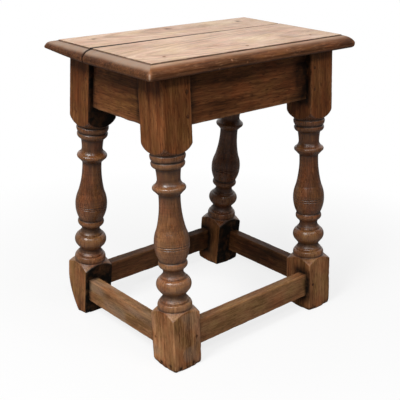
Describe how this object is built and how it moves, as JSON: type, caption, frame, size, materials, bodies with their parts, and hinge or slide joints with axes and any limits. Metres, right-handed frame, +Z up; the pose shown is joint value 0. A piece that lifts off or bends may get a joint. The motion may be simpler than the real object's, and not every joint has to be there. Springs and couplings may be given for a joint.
{
  "type": "joint stool",
  "caption": "Rectangular oak stool with a moulded board top on four turned, leaning legs, joined by pegged rails and low stretchers.",
  "frame": {"origin": "on the floor, under the middle of the stool", "axes": "+Z up, +X along the long side of the top towards the right, -Y towards the front (the long side that the picture shows)"},
  "size_m": [0.491, 0.3382, 0.54],
  "materials": {
    "top_oak": "waxed and worn",
    "leg_oak": "dark waxed patina",
    "rail_oak": "dark waxed patina",
    "peg_oak": "dark end grain"
  },
  "bodies": {
    "root": {"top_board_front": "top_oak", "top_board_rear": "top_oak", "leg_front_left": "leg_oak", "leg_front_right": "leg_oak", "leg_rear_left": "leg_oak", "leg_rear_right": "leg_oak", "rail_front": "rail_oak", "rail_rear": "rail_oak", "rail_left": "rail_oak", "rail_right": "rail_oak", "stretcher_front": "rail_oak", "stretcher_rear": "rail_oak", "stretcher_left": "rail_oak", "stretcher_right": "rail_oak", "rail_pegs_front": "peg_oak", "stretcher_pegs_front": "peg_oak", "rail_pegs_rear": "peg_oak", "stretcher_pegs_rear": "peg_oak", "rail_pegs_left": "peg_oak", "stretcher_pegs_left": "peg_oak", "rail_pegs_right": "peg_oak", "stretcher_pegs_right": "peg_oak", "top_pegs_front": "peg_oak", "top_pegs_rear": "peg_oak"}
  },
  "joints": []
}
